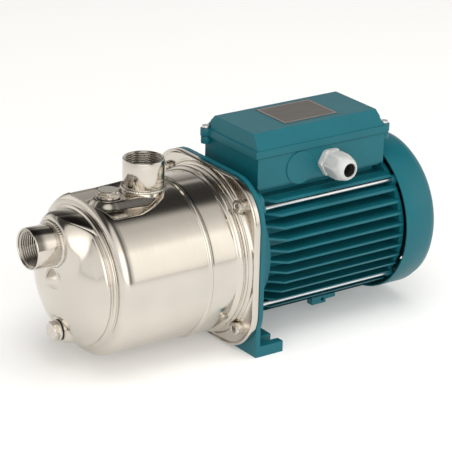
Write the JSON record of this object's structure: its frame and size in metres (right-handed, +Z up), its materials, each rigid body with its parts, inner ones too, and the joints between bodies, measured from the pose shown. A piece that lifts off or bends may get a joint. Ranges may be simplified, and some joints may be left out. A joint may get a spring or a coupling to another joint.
{
  "type": "shallow well jet pump",
  "caption": "Self-priming jet pump: pressed stainless casing with suction and delivery sockets, cast bracket with a slotted foot, finned motor with terminal box and fan cover.",
  "frame": {"origin": "middle of the bracket's front face where it meets the ground, under the shaft's axis", "axes": "+X along the shaft from the suction port to the fan, +Z up, y = 0 the pump's plane of symmetry"},
  "size_m": [0.427, 0.172, 0.2073],
  "materials": {
    "polished_stainless": "polished pressed stainless sheet",
    "machined_stainless": "machined stainless bar",
    "teal_paint": "semi-gloss teal enamel on cast and pressed parts",
    "zinc_plate": "bright zinc plate",
    "plastic_grey": "moulded light grey nylon",
    "plastic_black": "moulded black technopolymer",
    "rubber_black": "matt nitrile rubber",
    "brass": "turned brass",
    "ceramic": "lapped alumina",
    "carbon": "carbon graphite",
    "lamination_steel": "stacked electrical steel",
    "copper_wire": "varnished copper wire",
    "bearing_steel": "ground bearing steel",
    "cast_aluminium": "bare die-cast aluminium",
    "label_grey": "printed aluminium plate, left blank"
  },
  "bodies": {
    "root": {"pump_casing": "polished_stainless", "suction_socket": "machined_stainless", "delivery_socket": "machined_stainless", "delivery_neck": "polished_stainless", "fill_boss": "machined_stainless", "drain_boss": "machined_stainless", "vent_screw": "machined_stainless", "casing_screws": "machined_stainless", "casing_gasket": "rubber_black", "seal_plate": "polished_stainless", "suction_duct": "plastic_black", "ejector_body": "plastic_black", "ejector_nozzle": "brass", "diffuser": "plastic_black", "wear_ring": "machined_stainless", "seal_seat": "ceramic", "pump_bracket": "teal_paint", "motor_housing": "teal_paint", "stator_core": "lamination_steel", "stator_windings": "copper_wire", "front_bearing_outer": "bearing_steel", "rear_bearing_outer": "bearing_steel", "bearing_wave_washer": "bearing_steel", "rear_end_shield": "teal_paint", "tie_rods": "zinc_plate", "tie_rod_nuts": "zinc_plate", "fan_cover": "teal_paint", "fan_cover_screws": "zinc_plate", "terminal_box": "teal_paint", "lid_gasket": "rubber_black", "terminal_lid": "teal_paint", "lid_screws": "zinc_plate", "rating_plate": "label_grey", "terminal_board": "plastic_black", "terminal_studs": "brass", "capacitor": "cast_aluminium", "capacitor_clip": "zinc_plate", "gland_body": "plastic_grey", "gland_locknut": "plastic_grey"},
    "fill_washer": {"fill_plug_washer": "rubber_black"},
    "fill_plug": {"fill_plug": "machined_stainless"},
    "drain_washer": {"drain_plug_washer": "rubber_black"},
    "drain_plug": {"drain_plug": "machined_stainless"},
    "rotor": {"seal_ring": "carbon", "seal_bellows": "machined_stainless", "slinger": "rubber_black", "impeller": "plastic_black", "impeller_nut": "brass", "impeller_key": "machined_stainless", "rotor_core": "lamination_steel", "motor_shaft": "machined_stainless", "front_bearing_inner": "bearing_steel", "rear_bearing_inner": "bearing_steel", "fan": "plastic_black", "fan_clip": "bearing_steel"},
    "bearing_balls": {"front_bearing_balls": "bearing_steel", "rear_bearing_balls": "bearing_steel"},
    "gland_seal": {"gland_seal": "rubber_black"},
    "gland_nut": {"gland_nut": "plastic_grey"}
  },
  "joints": [
    {"name": "rotor_spin", "type": "hinge", "parent": "root", "child": "rotor", "pos_m": [0, 0, 0.0885], "axis": [1, 0, 0], "continuous": true},
    {"name": "ball_spin", "type": "hinge", "parent": "root", "child": "bearing_balls", "pos_m": [0, 0, 0.0885], "axis": [1, 0, 0], "continuous": true},
    {"name": "fill_rise", "type": "slide", "parent": "root", "child": "fill_washer", "axis": [0, 0, 1], "range_m": [0, 0.0107]},
    {"name": "fill_turn", "type": "hinge", "parent": "fill_washer", "child": "fill_plug", "pos_m": [-0.1156, 0, 0.1605], "axis": [0, 0, 1], "range_deg": [0, 2880]},
    {"name": "drain_rise", "type": "slide", "parent": "root", "child": "drain_washer", "axis": [-1, 0, 0], "range_m": [0, 0.0107]},
    {"name": "drain_turn", "type": "hinge", "parent": "drain_washer", "child": "drain_plug", "pos_m": [-0.17, 0, 0.0385], "axis": [-1, 0, 0], "range_deg": [0, 2880]},
    {"name": "gland_slide", "type": "slide", "parent": "root", "child": "gland_seal", "axis": [0, -1, 0], "range_m": [0, 0.009]},
    {"name": "gland_turn", "type": "hinge", "parent": "gland_seal", "child": "gland_nut", "pos_m": [0.1095, -0.06, 0.1685], "axis": [0, -1, 0], "range_deg": [0, 2160]}
  ],
  "couplings": [
    {"joint": "ball_spin", "follows": "rotor_spin", "ratio": 0.382},
    {"joint": "fill_turn", "follows": "fill_rise", "rad_per_m": 4699.5},
    {"joint": "drain_turn", "follows": "drain_rise", "rad_per_m": 4699.5},
    {"joint": "gland_turn", "follows": "gland_slide", "rad_per_m": 4188.8}
  ]
}
